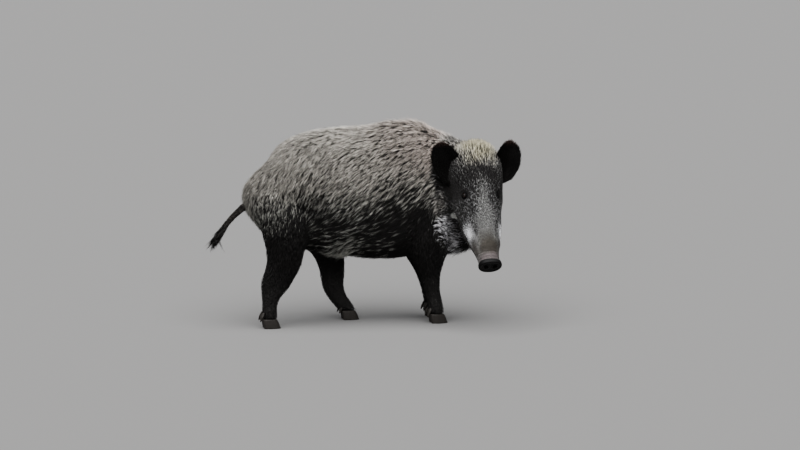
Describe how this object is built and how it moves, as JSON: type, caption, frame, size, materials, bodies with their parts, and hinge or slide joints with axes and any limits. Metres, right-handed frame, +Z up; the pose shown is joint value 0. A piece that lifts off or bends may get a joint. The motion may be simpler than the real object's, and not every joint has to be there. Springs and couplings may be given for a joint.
{
  "type": "wild boar",
  "caption": "Life-size standing wild boar in a shaggy winter coat, with its lowered head turned square to its right side and a short brush-tipped tail.",
  "frame": {"origin": "on the floor, below the middle of the boar's box", "axes": "+X from tail to breast along the trunk, +Y towards the boar's left side, +Z up"},
  "size_m": [1.1514, 0.5782, 0.7714],
  "materials": {
    "coat": "coarse bristles over dense underwool, grey-brown with pale tips",
    "dark_coat": "short black-brown hair",
    "ear": "thin skin with short black hair",
    "eye": "wet, dark brown",
    "nose": "moist bare skin, near black",
    "horn": "dull dark horn"
  },
  "bodies": {
    "root": {"trunk": "coat", "neck": "coat", "head": "coat", "lower_jaw": "coat", "fore_leg_right_upper": "dark_coat", "fore_leg_right_lower": "dark_coat", "fore_leg_left_upper": "dark_coat", "fore_leg_left_lower": "dark_coat", "hind_leg_right_upper": "dark_coat", "hind_leg_right_lower": "dark_coat", "hind_leg_left_upper": "dark_coat", "hind_leg_left_lower": "dark_coat", "tail": "dark_coat", "tail_brush": "dark_coat", "ear_right": "ear", "ear_left": "ear", "eye_right": "eye", "eye_left": "eye", "nose_disc": "nose", "fore_hoof_right_outer": "horn", "fore_hoof_right_inner": "horn", "fore_dewclaw_right_outer": "horn", "fore_dewclaw_right_inner": "horn", "fore_hoof_left_outer": "horn", "fore_hoof_left_inner": "horn", "fore_dewclaw_left_outer": "horn", "fore_dewclaw_left_inner": "horn", "hind_hoof_right_outer": "horn", "hind_hoof_right_inner": "horn", "hind_dewclaw_right_outer": "horn", "hind_dewclaw_right_inner": "horn", "hind_hoof_left_outer": "horn", "hind_hoof_left_inner": "horn", "hind_dewclaw_left_outer": "horn", "hind_dewclaw_left_inner": "horn"}
  },
  "joints": []
}
